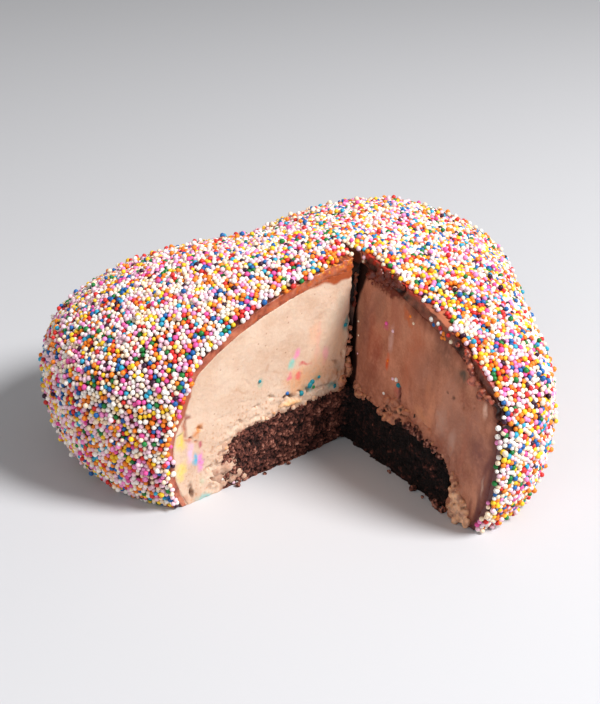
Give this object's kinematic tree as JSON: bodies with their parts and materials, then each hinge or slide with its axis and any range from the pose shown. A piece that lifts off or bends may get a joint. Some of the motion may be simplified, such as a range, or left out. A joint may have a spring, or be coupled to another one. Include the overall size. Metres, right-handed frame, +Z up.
{
  "type": "heart-shaped chocolate ice-cream cake",
  "caption": "Domed heart-shaped ice-cream cake: chocolate sponge base, chocolate ice cream, chocolate shell set with sugar sprinkles, and one slice cut out to the middle.",
  "frame": {"origin": "middle of the whole cake's footprint on the surface it stands on", "axes": "+X from lobe to lobe, +Y towards the cleft between the lobes, the tip to -Y, +Z up"},
  "size_m": [0.1974, 0.1757, 0.0803],
  "materials": {
    "shell_chocolate": "set milk chocolate, satin, broken and smeared along the cuts",
    "ice_cream": "frozen light-chocolate ice cream, softly glossy, drawn into fine streaks by the knife",
    "sponge": "dark, open, crumbly chocolate sponge, dull",
    "sprinkles": "small round sugar beads in white and eight colours, satin"
  },
  "bodies": {
    "root": {"chocolate_shell": "shell_chocolate", "ice_cream": "ice_cream", "sponge_base": "sponge"}
  },
  "joints": []
}
